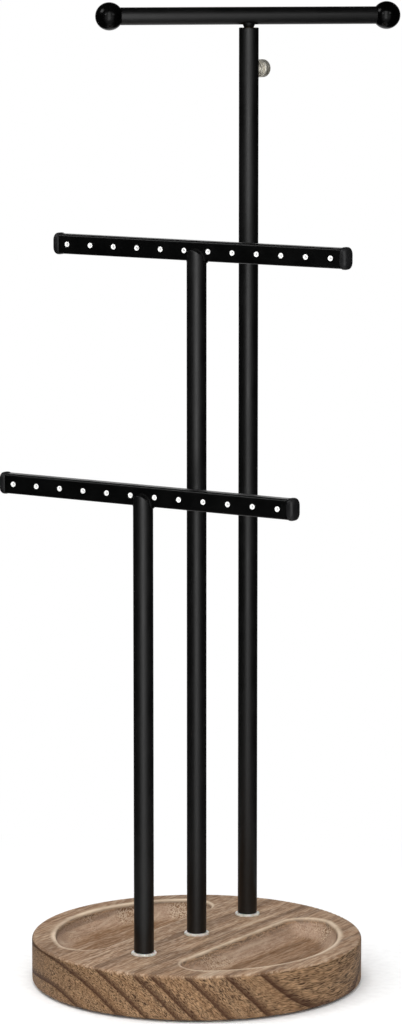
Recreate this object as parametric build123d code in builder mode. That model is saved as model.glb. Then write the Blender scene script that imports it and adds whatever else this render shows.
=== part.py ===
from build123d import *
import os
from math import cos, radians, sin, sqrt

# Three-tier jewellery stand. A round wooden base with two carved trays carries three
# round tubular posts in a row. The short and the middle post each end in a rectangular
# bar with a row of lined earring holes. The tall post holds a sliding, turning T-bar with
# ball ends, which a knurled thumb screw clamps.
#
# Frame: millimetres, +Z up, +X along the two earring bars, +Y along the row of posts
# from the short post to the tall one. The origin is the centre of the underside.

os.makedirs("parts", exist_ok=True)

# ---------------------------------------------------------------- wooden base and pad
base_diameter = 150.0
base_thickness = 20.0
base_top_round = 1.6
base_bottom_round = 1.0
pad_diameter = 138.0
pad_thickness = 1.0

# ---------------------------------------------------------------- half-moon trays
tray_depth = 8.0
tray_inner_edge = 20.5  # straight side, measured from the row of posts
tray_rim_width = 10.5  # wood left outside the curved side
tray_corner_radius = 12.0
tray_wall_slope = 20.0  # degrees, wall leaning out from upright
tray_cove_radius = 10.0
tray_lip_round = 0.9

# ---------------------------------------------------------------- posts and their feet
post_diameter = 8.9
post_wall = 1.0
post_spacing = 43.0
foot_ring_diameter = 11.4
foot_ring_thickness = 1.0
foot_ring_bevel = 0.3
insert_length = 14.0

# ---------------------------------------------------------------- fasteners under the base
bolt_diameter = 4.0
bolt_length = 25.0
bolt_head_diameter = 7.6
bolt_head_height = 2.6
bolt_socket_flats = 2.5
bolt_socket_depth = 1.5
bolt_head_bevel = 0.8
washer_diameter = 12.0
washer_thickness = 1.0
counterbore_depth = 6.5

# ---------------------------------------------------------------- earring bars
bar_depth = 6.0
bar_height = 9.0
bar_wall = 0.9
bar_corner = 1.2
bar_tube_length = 149.0
bar_setback = 2.5  # how far the bar's middle lies behind the post's axis
lower_bar_height = 206.6  # middle of the bar above the top of the wood
middle_bar_height = 311.5

hole_count = 12
hole_end_margin = 4.65  # from the end of the tube to the middle of the last hole
eyelet_bore = 1.1
eyelet_barrel = 2.3
eyelet_lip_diameter = 2.6
eyelet_lip_height = 0.25

tongue_rise = 5.2  # arched front of the post, above the bar's underside
tongue_wall = 1.2
weld_width = 0.9
weld_throat = 0.9
weld_round = 0.7

cap_overhang = 0.45  # cap head past the tube, on each side
cap_corner = 1.9
cap_rim = 2.0
cap_crown = 1.7
cap_stem_length = 3.4
cap_stem_wall = 0.8
cap_stem_corner = 0.4

# ---------------------------------------------------------------- clamped top bar
tall_post_top = 409.2  # top of the tall tube above the top of the wood
rod_diameter = 4.4
rod_reach = 148.0  # rod below the top of the tall tube, bar lowered
bush_length = 26.0
collar_length = 8.0
spigot_diameter = 3.0
ring_diameter = 5.6
ring_thickness = 0.8
rod_end = 0.6

top_bar_diameter = 7.9
top_bar_wall = 1.0
top_bar_gap = 1.35  # underside of the bar above the tall tube, bar lowered
top_bar_turn = 45.0  # degrees from the earring bars, about +Z
ball_spacing = 127.7
ball_diameter = 12.6
ball_spigot_length = 7.0
neck_diameter = 6.3
neck_slope = 1.2

# ---------------------------------------------------------------- thumb screw
screw_diameter = 4.0
screw_drop = 18.5  # axis below the top of the tall tube
screw_shoulder_diameter = 5.8
screw_shoulder_length = 1.5
knob_diameter = 8.1
knob_length = 4.2
knob_standoff = 3.9  # from the tube to the knob
knob_chamfer = 0.5
knurl_count = 24
knurl_depth = 0.35
knob_wall = 1.4  # metal left outside the end of the screw

# ---------------------------------------------------------------- fits
bolt_clearance = 0.25  # radial, bolt in wood, washer and foot ring
thread_clearance = 0.03  # radial, between a screw and its thread
press_gap = 0.02  # radial, pushed or glued in
running_gap = 0.05  # radial, turning or sliding
collar_gap = 0.08  # radial, stop collar in the tall tube
tip_gap = 0.10  # screw tip to rod at rest
end_gap = 0.10  # end float of the stop collar

# ---------------------------------------------------------------- places worked out from the sizes
wood_bottom = pad_thickness
wood_top = wood_bottom + base_thickness
post_foot = wood_top + foot_ring_thickness
post_radius = post_diameter / 2
post_bore = post_radius - post_wall
post_rows = {"short": -post_spacing, "middle": 0.0, "tall": post_spacing}
bar_rows = {
    "lower": (post_rows["short"], wood_top + lower_bar_height),
    "middle": (post_rows["middle"], wood_top + middle_bar_height),
}
hole_pitch = (bar_tube_length - 2 * hole_end_margin) / (hole_count - 1)
bolt_radius = bolt_diameter / 2
washer_top = wood_bottom + counterbore_depth
washer_bottom = washer_top - washer_thickness

tall_y = post_rows["tall"]
tall_top = wood_top + tall_post_top
rod_radius = rod_diameter / 2
top_bar_radius = top_bar_diameter / 2
top_bar_axis = tall_top + top_bar_gap + top_bar_radius
screw_z = tall_top - screw_drop
screw_radius = screw_diameter / 2
bar_direction = (cos(radians(top_bar_turn)), sin(radians(top_bar_turn)), 0)
bar_normal = (sin(radians(top_bar_turn)), -cos(radians(top_bar_turn)), 0)
tall_axis = Axis((0, tall_y, 0), (0, 0, 1))


def save(builder, label):
    """Name a finished piece and write it to its own file."""
    builder.part.label = label
    export_step(builder.part, f"parts/{label}.step")


def upright_plane(y):
    """The plane through a post's axis, drawn with X across and Z up."""
    return Plane(origin=(0, y, 0), x_dir=(1, 0, 0), z_dir=(0, -1, 0))


def screw_plane(distance):
    """A plane square to the thumb screw, at a distance from the tall post's axis."""
    return Plane(origin=(0, tall_y + distance, screw_z), x_dir=(1, 0, 0), z_dir=(0, 1, 0))


# ---------------------------------------------------------------- base
def make_wooden_base():
    tray_radius = base_diameter / 2 - tray_rim_width
    with BuildPart() as wooden_base:
        with BuildSketch(Plane.XY.offset(wood_bottom)):
            Circle(base_diameter / 2)
        extrude(amount=base_thickness)
        fillet(wooden_base.edges().group_by(Axis.Z)[-1], base_top_round)
        fillet(wooden_base.edges().group_by(Axis.Z)[0], base_bottom_round)
        with BuildSketch(Plane.XY.offset(wood_top)) as trays:
            Circle(tray_radius)
            with Locations((tray_inner_edge, 0)):
                tray_side = (Align.MIN, Align.CENTER)
                Rectangle(tray_radius, 2 * tray_radius, align=tray_side, mode=Mode.INTERSECT)
            fillet(trays.vertices(), tray_corner_radius)
            mirror(about=Plane.YZ)
        extrude(amount=-tray_depth, taper=tray_wall_slope, mode=Mode.SUBTRACT)
        floors = wooden_base.faces().filter_by(Axis.Z).group_by(Axis.Z)[-2]
        fillet(floors.edges(), tray_cove_radius)
        top_face = wooden_base.faces().filter_by(Axis.Z).sort_by(Axis.Z)[-1]
        lips = [edge for wire in top_face.inner_wires() for edge in wire.edges()]
        fillet(lips, tray_lip_round)
        seats = [Plane(origin=(0, y, wood_bottom), z_dir=(0, 0, -1)) for y in post_rows.values()]
        with Locations(*seats):
            CounterBoreHole(
                radius=bolt_radius + bolt_clearance,
                counter_bore_radius=washer_diameter / 2 + bolt_clearance,
                counter_bore_depth=counterbore_depth,
                depth=base_thickness,
            )
    save(wooden_base, "wooden_base")


def make_foot_pad():
    with BuildPart() as foot_pad:
        with BuildSketch(Plane.XY):
            Circle(pad_diameter / 2)
        extrude(amount=pad_thickness)
    save(foot_pad, "foot_pad")


# ---------------------------------------------------------------- foot of each post
def make_foot_ring(post_name, y):
    with BuildPart() as foot_ring:
        with BuildSketch(Plane((0, y, wood_top))):
            Circle(foot_ring_diameter / 2)
            Circle(bolt_radius + bolt_clearance, mode=Mode.SUBTRACT)
        extrude(amount=foot_ring_thickness)
        rim = foot_ring.edges().group_by(Axis.Z)[-1].sort_by(SortBy.RADIUS)[-1]
        chamfer(rim, foot_ring_bevel)
    save(foot_ring, f"{post_name}_post_foot_ring")


def make_post_insert(post_name, y):
    with BuildPart() as post_insert:
        with BuildSketch(Plane((0, y, post_foot))):
            Circle(post_bore - press_gap)
            Circle(bolt_radius + thread_clearance, mode=Mode.SUBTRACT)
        extrude(amount=insert_length)
    save(post_insert, f"{post_name}_post_insert")


def make_base_bolt(post_name, y):
    head_bottom = washer_bottom - bolt_head_height
    with BuildPart() as base_bolt:
        with BuildSketch(Plane((0, y, head_bottom))):
            Circle(bolt_head_diameter / 2)
        extrude(amount=bolt_head_height)
        chamfer(base_bolt.edges().group_by(Axis.Z)[0], bolt_head_bevel)
        with BuildSketch(Plane((0, y, washer_bottom))):
            Circle(bolt_radius)
        extrude(amount=bolt_length)
        with BuildSketch(Plane((0, y, head_bottom))):
            RegularPolygon(bolt_socket_flats / 2, 6, major_radius=False)
        extrude(amount=bolt_socket_depth, mode=Mode.SUBTRACT)
    save(base_bolt, f"{post_name}_post_bolt")


def make_washer(post_name, y):
    with BuildPart() as washer:
        with BuildSketch(Plane((0, y, washer_bottom))):
            Circle(washer_diameter / 2)
            Circle(bolt_radius + bolt_clearance, mode=Mode.SUBTRACT)
        extrude(amount=washer_thickness)
    save(washer, f"{post_name}_post_washer")


# ---------------------------------------------------------------- posts that carry an earring bar
def bar_front_plane(y, height):
    """The plane of an earring bar's front face, at a height, drawn with X across and Z up."""
    return Plane(origin=(0, y + bar_setback - bar_depth / 2, height), x_dir=(1, 0, 0), z_dir=(0, -1, 0))


def make_tongue(y, shoulder):
    """The arched upper end of a post, before it is hollowed: one shape for the post and its weld."""
    with BuildPart() as tongue:
        with BuildSketch(Plane((0, y, shoulder - weld_width))):
            Circle(post_radius)
        extrude(amount=weld_width + tongue_rise)
        with BuildSketch(Plane((0, y + bar_setback - bar_depth / 2, shoulder))):
            Rectangle(2 * post_diameter, post_diameter, align=(Align.CENTER, Align.MIN))
        extrude(amount=tongue_rise, mode=Mode.SUBTRACT)
        with BuildSketch(bar_front_plane(y, shoulder)):
            Rectangle(2 * post_diameter, 2 * tongue_rise, align=(Align.CENTER, Align.MIN))
            Ellipse(post_radius, tongue_rise, mode=Mode.SUBTRACT)
        extrude(amount=post_diameter, mode=Mode.SUBTRACT)
    return tongue.part


def make_tier_post(post_name, y, shoulder, tongue):
    """A tube cut away behind its arched front, so that the bar sits on the shoulder."""
    bore_top = shoulder + tongue_rise - tongue_wall
    dome_foot = bore_top - post_bore
    with BuildPart() as tier_post:
        with BuildSketch(Plane((0, y, post_foot))):
            Circle(post_radius)
        extrude(amount=shoulder - weld_width - post_foot)
        add(tongue)
        with BuildSketch(upright_plane(y)):
            with BuildLine():
                Polyline((0, bore_top), (0, post_foot), (post_bore, post_foot), (post_bore, dome_foot))
                CenterArc((0, dome_foot), post_bore, 0, 90)
            make_face()
        revolve(axis=Axis((0, y, 0), (0, 0, 1)), mode=Mode.SUBTRACT)
    save(tier_post, f"{post_name}_post")


def make_bar_weld(bar_name, y, shoulder, tongue):
    """The bead round the post's arched front, and the smaller one under the bar."""
    with BuildPart() as bar_weld:
        with BuildSketch(bar_front_plane(y, shoulder)):
            Ellipse(post_radius + weld_width, tongue_rise + weld_width)
            above_underside = (Align.CENTER, Align.MIN)
            Rectangle(4 * post_diameter, 2 * tongue_rise, align=above_underside, mode=Mode.INTERSECT)
        extrude(amount=weld_throat)
        fillet(bar_weld.edges().group_by(Axis.Y)[0].filter_by(GeomType.ELLIPSE), weld_round)
        with BuildSketch(upright_plane(y)):
            with BuildLine():
                Polyline(
                    (0, shoulder - weld_width),
                    (post_radius, shoulder - weld_width),
                    (post_radius + weld_width, shoulder),
                    (0, shoulder),
                    close=True,
                )
            make_face()
        revolve(axis=Axis((0, y, 0), (0, 0, 1)))
        with BuildSketch(bar_front_plane(y, shoulder).offset(weld_throat / 2)):
            Rectangle(4 * post_diameter, weld_width, align=(Align.CENTER, Align.MAX))
        extrude(amount=post_diameter, mode=Mode.SUBTRACT)
        add(tongue, mode=Mode.SUBTRACT)
    save(bar_weld, f"{bar_name}_bar_weld")


# ---------------------------------------------------------------- earring bars
def make_earring_bar(bar_name, y, bar_middle):
    middle = (y + bar_setback, bar_middle)
    with BuildPart() as earring_bar:
        with BuildSketch(Plane.YZ.offset(-bar_tube_length / 2)):
            with Locations(middle):
                RectangleRounded(bar_depth, bar_height, bar_corner)
                RectangleRounded(
                    bar_depth - 2 * bar_wall,
                    bar_height - 2 * bar_wall,
                    bar_corner - bar_wall,
                    mode=Mode.SUBTRACT,
                )
        extrude(amount=bar_tube_length)
        with BuildSketch(bar_front_plane(y, bar_middle)):
            with GridLocations(hole_pitch, 1, hole_count, 1):
                Circle(eyelet_barrel / 2 + press_gap)
        extrude(amount=-bar_depth, mode=Mode.SUBTRACT)
    save(earring_bar, f"{bar_name}_bar")


def make_eyelets(bar_name, y, bar_middle):
    """One pale lining sleeve for each earring hole, with a lip on both faces of the bar."""
    front = bar_front_plane(y, bar_middle)
    with BuildPart() as eyelets:
        for face, lip in ((front, eyelet_lip_height), (front.offset(-bar_depth), -eyelet_lip_height)):
            with BuildSketch(face):
                with GridLocations(hole_pitch, 1, hole_count, 1):
                    Circle(eyelet_lip_diameter / 2)
            extrude(amount=lip)
        with BuildSketch(front):
            with GridLocations(hole_pitch, 1, hole_count, 1):
                Circle(eyelet_barrel / 2)
        extrude(amount=-bar_depth)
        with BuildSketch(front.offset(eyelet_lip_height)):
            with GridLocations(hole_pitch, 1, hole_count, 1):
                Circle(eyelet_bore / 2)
        extrude(amount=-bar_depth - 2 * eyelet_lip_height, mode=Mode.SUBTRACT)
    save(eyelets, f"{bar_name}_bar_eyelets")


def make_bar_cap(bar_name, y, bar_middle, side_name, side):
    """A plug with a crowned head that seats on the end of the tube."""
    middle = (y + bar_setback, bar_middle)
    tube_end = Plane.YZ.offset(side * bar_tube_length / 2)
    head_depth = bar_depth + 2 * cap_overhang
    head_height = bar_height + 2 * cap_overhang
    stem_depth = bar_depth - 2 * bar_wall - 2 * press_gap
    stem_height = bar_height - 2 * bar_wall - 2 * press_gap
    with BuildPart() as bar_cap:
        with BuildSketch(tube_end):
            with Locations(middle):
                RectangleRounded(head_depth, head_height, cap_corner)
        extrude(amount=side * (cap_rim + cap_crown))
        crown = bar_cap.faces().sort_by(Axis.X)[-1 if side > 0 else 0]
        fillet(crown.edges(), cap_crown)
        with BuildSketch(tube_end):
            with Locations(middle):
                RectangleRounded(stem_depth, stem_height, cap_stem_corner)
                Rectangle(
                    stem_depth - 2 * cap_stem_wall,
                    stem_height - 2 * cap_stem_wall,
                    mode=Mode.SUBTRACT,
                )
        extrude(amount=-side * cap_stem_length)
    save(bar_cap, f"{bar_name}_bar_{side_name}_cap")


# ---------------------------------------------------------------- tall post and its clamp
def make_tall_post():
    with BuildPart() as tall_post:
        with BuildSketch(Plane((0, tall_y, post_foot))):
            Circle(post_radius)
            Circle(post_bore, mode=Mode.SUBTRACT)
        extrude(amount=tall_top - post_foot)
        with BuildSketch(screw_plane(0)):
            Circle(screw_radius + bolt_clearance)
        extrude(amount=post_diameter, mode=Mode.SUBTRACT)
    save(tall_post, "tall_post")


def make_guide_bush():
    """The bush in the mouth of the tall tube guides the rod and holds the screw's thread."""
    with BuildPart() as guide_bush:
        with BuildSketch(Plane((0, tall_y, tall_top))):
            Circle(post_bore - press_gap)
            Circle(rod_radius + running_gap, mode=Mode.SUBTRACT)
        extrude(amount=-bush_length)
        with BuildSketch(screw_plane(0)):
            Circle(screw_radius + running_gap)
        extrude(amount=post_diameter, mode=Mode.SUBTRACT)
    save(guide_bush, "guide_bush")


def make_inner_rod():
    """The rod is turned down at its foot for the stop collar, and ends inside the top bar."""
    rod_foot = tall_top - rod_reach
    spigot_top = rod_foot + rod_end + ring_thickness + collar_length + 2 * end_gap
    with BuildPart() as inner_rod:
        with BuildSketch(Plane((0, tall_y, rod_foot))):
            Circle(spigot_diameter / 2)
        extrude(amount=spigot_top - rod_foot)
        with BuildSketch(Plane((0, tall_y, spigot_top))):
            Circle(rod_radius)
        extrude(amount=top_bar_axis - spigot_top)
    save(inner_rod, "inner_rod")


def make_stop_collar():
    """The collar slides in the tall tube and meets the bush before the rod can leave it."""
    collar_foot = tall_top - rod_reach + rod_end + ring_thickness + end_gap
    with BuildPart() as stop_collar:
        with BuildSketch(Plane((0, tall_y, collar_foot))):
            Circle(post_bore - collar_gap)
            Circle(spigot_diameter / 2 + running_gap, mode=Mode.SUBTRACT)
        extrude(amount=collar_length)
    save(stop_collar, "stop_collar")


def make_retaining_ring():
    with BuildPart() as retaining_ring:
        with BuildSketch(Plane((0, tall_y, tall_top - rod_reach + rod_end))):
            Circle(ring_diameter / 2)
            Circle(spigot_diameter / 2 + press_gap, mode=Mode.SUBTRACT)
        extrude(amount=ring_thickness)
    save(retaining_ring, "retaining_ring")


# ---------------------------------------------------------------- top bar
def top_bar_plane(distance):
    """A plane square to the top bar, at a distance along it from the tall post's axis."""
    middle = Vector(0, tall_y, top_bar_axis)
    return Plane(origin=middle + Vector(*bar_direction) * distance, x_dir=(0, 0, 1), z_dir=bar_direction)


def top_bar_length():
    """The tube ends where its outside meets the two balls."""
    return ball_spacing - 2 * sqrt((ball_diameter / 2) ** 2 - top_bar_radius**2)


def make_top_bar():
    length = top_bar_length()
    with BuildPart() as top_bar:
        with BuildSketch(top_bar_plane(-length / 2)):
            Circle(top_bar_radius)
            Circle(top_bar_radius - top_bar_wall, mode=Mode.SUBTRACT)
        extrude(amount=length)
        with BuildSketch(Plane((0, tall_y, top_bar_axis))):
            Circle(rod_radius + press_gap)
        extrude(amount=-top_bar_diameter, mode=Mode.SUBTRACT)
    save(top_bar, "top_bar")


def make_top_bar_neck():
    """The weld cone between the rod and the underside of the top bar."""
    neck_radius = neck_diameter / 2
    underside = top_bar_axis - top_bar_radius
    with BuildPart() as top_bar_neck:
        with BuildSketch(upright_plane(tall_y)):
            with BuildLine():
                Polyline(
                    (rod_radius, underside - neck_slope),
                    (neck_radius, underside),
                    (neck_radius, top_bar_axis),
                    (rod_radius, top_bar_axis),
                    close=True,
                )
            make_face()
        revolve(axis=tall_axis)
        with BuildSketch(top_bar_plane(-neck_diameter)):
            Circle(top_bar_radius)
        extrude(amount=2 * neck_diameter, mode=Mode.SUBTRACT)
    save(top_bar_neck, "top_bar_neck")


def make_ball(side_name, side):
    """A ball with a flat seat against the tube and a spigot inside it."""
    radius = ball_diameter / 2
    spigot_radius = top_bar_radius - top_bar_wall - press_gap
    seat = top_bar_length() / 2
    outward = Align.MIN if side > 0 else Align.MAX
    inward = Align.MAX if side > 0 else Align.MIN
    middle = Vector(0, tall_y, top_bar_axis)
    lengthwise = Plane(origin=middle, x_dir=bar_direction, z_dir=bar_normal)
    with BuildPart() as ball:
        with BuildSketch(lengthwise):
            with Locations((side * ball_spacing / 2, 0)):
                Circle(radius)
            with Locations((side * seat, 0)):
                Rectangle(ball_diameter, ball_diameter, align=(outward, Align.MIN), mode=Mode.INTERSECT)
                Rectangle(ball_spigot_length, spigot_radius, align=(inward, Align.MIN))
        revolve(axis=Axis(middle, bar_direction))
    save(ball, f"{side_name}_ball")


# ---------------------------------------------------------------- thumb screw
screw_tip = rod_radius + tip_gap
knob_near = post_radius + knob_standoff
knob_far = knob_near + knob_length
screw_end = knob_far - knob_wall


def make_thumb_screw_shank():
    with BuildPart() as thumb_screw_shank:
        with BuildSketch(screw_plane(screw_tip)):
            Circle(screw_radius)
        extrude(amount=screw_end - screw_tip)
    save(thumb_screw_shank, "thumb_screw_shank")


def make_thumb_screw_head():
    """A knob with a straight knurl and a shoulder towards the post."""
    knob_radius = knob_diameter / 2
    with BuildPart() as thumb_screw_head:
        with BuildSketch(screw_plane(knob_near)):
            Circle(knob_radius)
        extrude(amount=knob_length)
        chamfer(thumb_screw_head.edges().filter_by(GeomType.CIRCLE), knob_chamfer)
        with BuildSketch(screw_plane(knob_near)):
            with PolarLocations(knob_radius, knurl_count):
                Rectangle(knurl_depth * sqrt(2), knurl_depth * sqrt(2), rotation=45)
        extrude(amount=knob_length, mode=Mode.SUBTRACT)
        with BuildSketch(screw_plane(knob_near)):
            Circle(screw_shoulder_diameter / 2)
        extrude(amount=-screw_shoulder_length)
        with BuildSketch(screw_plane(knob_near - screw_shoulder_length)):
            Circle(screw_radius + running_gap)
        extrude(amount=screw_shoulder_length + knob_length - knob_wall + tip_gap, mode=Mode.SUBTRACT)
    save(thumb_screw_head, "thumb_screw_head")


# ---------------------------------------------------------------- every piece
make_wooden_base()
make_foot_pad()
for post_name, post_y in post_rows.items():
    make_foot_ring(post_name, post_y)
    make_post_insert(post_name, post_y)
    make_base_bolt(post_name, post_y)
    make_washer(post_name, post_y)
for (bar_name, (bar_y, bar_z)), post_name in zip(bar_rows.items(), ("short", "middle")):
    bar_underside = bar_z - bar_height / 2
    post_tongue = make_tongue(bar_y, bar_underside)
    make_tier_post(post_name, bar_y, bar_underside, post_tongue)
    make_bar_weld(bar_name, bar_y, bar_underside, post_tongue)
    make_earring_bar(bar_name, bar_y, bar_z)
    make_eyelets(bar_name, bar_y, bar_z)
    make_bar_cap(bar_name, bar_y, bar_z, "left", -1)
    make_bar_cap(bar_name, bar_y, bar_z, "right", 1)
make_tall_post()
make_guide_bush()
make_inner_rod()
make_stop_collar()
make_retaining_ring()
make_top_bar()
make_top_bar_neck()
make_ball("left", -1)
make_ball("right", 1)
make_thumb_screw_shank()
make_thumb_screw_head()
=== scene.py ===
from math import acos, cos, pi, radians, sin, sqrt

import bmesh
import bpy
from mathutils import Matrix, Vector

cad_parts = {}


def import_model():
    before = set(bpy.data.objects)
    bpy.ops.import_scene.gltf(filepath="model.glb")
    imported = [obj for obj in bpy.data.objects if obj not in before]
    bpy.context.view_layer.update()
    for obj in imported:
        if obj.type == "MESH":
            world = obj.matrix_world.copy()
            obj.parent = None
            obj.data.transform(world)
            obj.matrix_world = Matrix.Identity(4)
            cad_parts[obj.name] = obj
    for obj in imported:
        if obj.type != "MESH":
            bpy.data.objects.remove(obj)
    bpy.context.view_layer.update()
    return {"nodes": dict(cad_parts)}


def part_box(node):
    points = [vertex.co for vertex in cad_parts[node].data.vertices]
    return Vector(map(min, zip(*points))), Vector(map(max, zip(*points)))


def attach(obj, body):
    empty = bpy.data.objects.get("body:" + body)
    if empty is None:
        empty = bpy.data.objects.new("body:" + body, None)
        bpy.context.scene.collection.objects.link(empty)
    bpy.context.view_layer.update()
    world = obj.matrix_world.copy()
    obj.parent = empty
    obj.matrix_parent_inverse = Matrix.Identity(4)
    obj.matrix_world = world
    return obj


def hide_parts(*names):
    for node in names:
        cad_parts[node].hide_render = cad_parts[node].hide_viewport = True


# The looks of a three-tier jewellery stand: smooth turned posts, rods, balls and caps,
# weld beads, rolled eyelets and a knurled screw, with procedural wood, paint and metal.
# Sizes are in metres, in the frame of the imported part: X along the earring bars, Y along
# the row of posts, Z up.

MM = 0.001

# ---------------------------------------------------------------- sizes shared with the part
POST_RADIUS = 4.45 * MM
POST_FOOT = 22.0 * MM
WOOD_TOP = 21.0 * MM
POST_Y = {"short": -43.0 * MM, "middle": 0.0, "tall": 43.0 * MM}
BAR_OF_POST = {"short": "lower", "middle": "middle"}
BAR_AXIS_Z = {"lower": 227.6 * MM, "middle": 332.5 * MM}
BAR_DEPTH = 6.0 * MM
BAR_HEIGHT = 9.0 * MM
BAR_SETBACK = 2.5 * MM
BAR_HALF_LENGTH = 74.5 * MM
HOLE_COUNT = 12
HOLE_END = 69.85 * MM
TONGUE_RISE = 5.2 * MM
TALL_TOP = 430.2 * MM
TOP_BAR_Z = 435.5 * MM
TOP_BAR_RADIUS = 3.95 * MM
TOP_BAR_TURN = radians(45)
BALL_REACH = 63.85 * MM
BALL_RADIUS = 6.3 * MM
SCREW_Z = 411.7 * MM
KNOB_NEAR = 8.35 * MM
KNOB_FAR = 12.55 * MM
KNOB_RADIUS = 4.05 * MM
TUBE_WALL = 1.0 * MM
HAIR = 0.02 * MM  # keeps neighbouring corners and faces apart

UP = (0, 0, 1)
ALONG_ROW = (0, 1, 0)


def srgb(red, green, blue):
    """A colour given as 0-255 display values, as the linear values that shaders take."""
    linear = []
    for value in (red, green, blue):
        part = value / 255
        linear.append(part / 12.92 if part <= 0.04045 else ((part + 0.055) / 1.055) ** 2.4)
    return (*linear, 1.0)


# ---------------------------------------------------------------- mesh helpers
def finish_mesh(name, bm, material, body, replaced=(), sharp=38):
    """Turn a bmesh into a piece that rides on a body, shaded smooth over all edges that
    bend by less than the sharp angle, in degrees."""
    bmesh.ops.remove_doubles(bm, verts=bm.verts, dist=1e-7)
    bmesh.ops.recalc_face_normals(bm, faces=bm.faces)
    mesh = bpy.data.meshes.new(name)
    bm.to_mesh(mesh)
    bm.free()
    mesh.polygons.foreach_set("use_smooth", [True] * len(mesh.polygons))
    mesh.set_sharp_from_angle(angle=radians(sharp))
    mesh.materials.append(material)
    piece = bpy.data.objects.new(name, mesh)
    bpy.context.scene.collection.objects.link(piece)
    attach(piece, body)
    if replaced:
        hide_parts(*replaced)
    return piece


def rounded(points, radii, steps=5, closed=False):
    """A polyline with its corners turned into arcs of the given radii."""
    result = []
    count = len(points)
    for i, (point, radius) in enumerate(zip(points, radii)):
        p = Vector(point)
        if radius == 0 or (not closed and i in (0, count - 1)):
            result.append((p.x, p.y))
            continue
        to_before = (Vector(points[i - 1]) - p).normalized()
        to_after = (Vector(points[(i + 1) % count]) - p).normalized()
        half = to_before.angle(to_after) / 2
        reach = radius / max(1e-6, abs(sin(half) / cos(half)))
        start, end = p + to_before * reach, p + to_after * reach
        centre = p + (to_before + to_after).normalized() * (radius / sin(half))
        turn = (start - centre).angle_signed(end - centre)
        for k in range(steps + 1):
            arm = (start - centre).copy()
            arm.rotate(Matrix.Rotation(-turn * k / steps, 2))
            result.append((centre.x + arm.x, centre.y + arm.y))
    return result


def axis_frame(origin, along):
    """Origin, axis and two directions across it."""
    axis = Vector(along).normalized()
    helper = Vector(UP) if abs(axis.z) < 0.9 else Vector((1, 0, 0))
    across = axis.cross(helper).normalized()
    return Vector(origin), axis, across, axis.cross(across)


def skin_rings(bm, rings, closed_path=False, closed_ring=True):
    """Quads between neighbouring rings of vertices; a ring of one vertex is a pole."""
    pairs = list(zip(rings, rings[1:]))
    if closed_path:
        pairs.append((rings[-1], rings[0]))
    for first, second in pairs:
        count = max(len(first), len(second))
        for k in range(count if closed_ring else count - 1):
            n = (k + 1) % count
            if len(first) == 1:
                corners = (first[0], second[k], second[n])
            elif len(second) == 1:
                corners = (first[k], second[0], first[n])
            else:
                corners = (first[k], second[k], second[n], first[n])
            bm.faces.new(corners)


def ring_about(bm, axes, distance, radii):
    """A ring of vertices about an axis, evenly spaced, one for each of the radii."""
    start, axis, across, beside = axes
    centre = start + axis * distance
    ring = []
    for k, radius in enumerate(radii):
        angle = 2 * pi * k / len(radii)
        arm = across * cos(angle) + beside * sin(angle)
        ring.append(bm.verts.new(centre + arm * radius))
    return ring


def lathe(bm, profile, origin, along, segments=96, closed=False):
    """Revolve (radius, distance) pairs about an axis; a radius of nothing gives a pole."""
    axes = axis_frame(origin, along)
    rings = []
    for radius, distance in profile:
        on_axis = radius < 1e-9
        rings.append(ring_about(bm, axes, distance, [radius] * (1 if on_axis else segments)))
    skin_rings(bm, rings, closed_path=closed)


def turned_relief(bm, radius_at, distances, axes, segments):
    """A surface about an axis whose radius changes along it and round it."""
    rings = []
    for distance in distances:
        radii = [radius_at(distance, 2 * pi * k / segments) for k in range(segments)]
        rings.append(ring_about(bm, axes, distance, radii))
    skin_rings(bm, rings)
    return rings


def span(start, end, count):
    """Evenly spaced numbers, both ends included."""
    return [start + (end - start) * k / (count - 1) for k in range(count)]


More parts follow.
